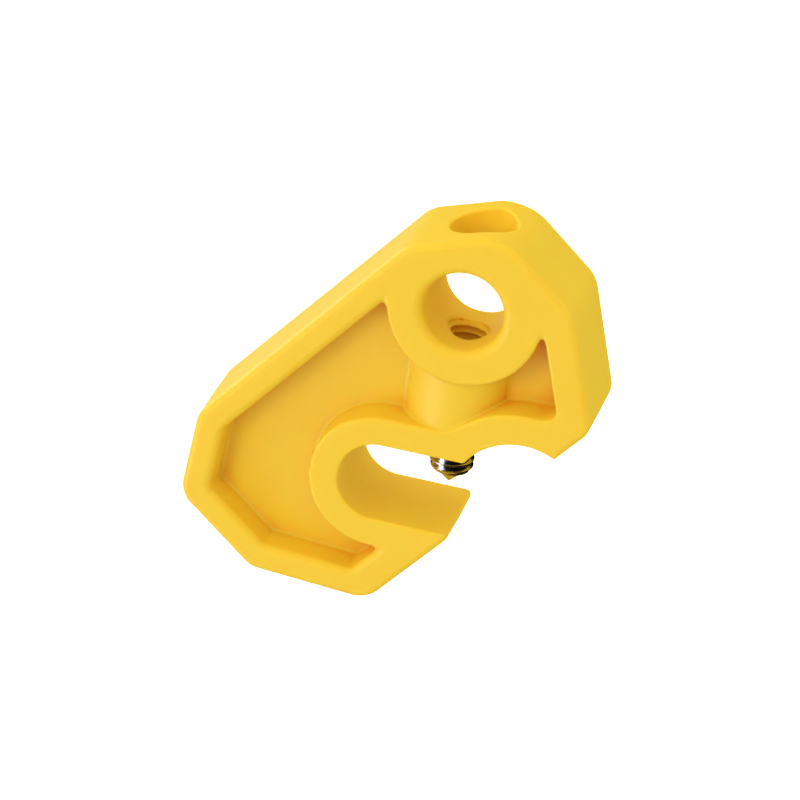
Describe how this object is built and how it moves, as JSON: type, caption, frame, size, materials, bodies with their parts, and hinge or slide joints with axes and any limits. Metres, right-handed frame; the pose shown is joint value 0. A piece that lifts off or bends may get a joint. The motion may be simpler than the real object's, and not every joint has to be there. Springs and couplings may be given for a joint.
{
  "type": "circuit breaker lockout",
  "caption": "Clamp-on circuit breaker lockout: a moulded jaw goes over the toggle, a pointed set screw grips it, and a padlock in the bore covers the screw.",
  "frame": {"origin": "middle of the outline's box, on the back face that the part lies on", "axes": "+Z along the padlock bore towards the front face; +Y along the clamp screw, from its point to its drive end; +X towards the toggle slot's mouth"},
  "size_m": [0.037, 0.0382, 0.0106],
  "materials": {
    "body": "satin yellow nylon, finely moulded",
    "clamp_screw": "bright steel with turning marks, dark in the thread"
  },
  "bodies": {
    "body": {"body": "body"},
    "screw": {"clamp_screw": "clamp_screw"}
  },
  "joints": [
    {"name": "clamp_screw_travel", "type": "slide", "parent": "body", "child": "screw", "axis": [0, -1, 0], "range_m": [-0.0049, 0.0028]}
  ]
}
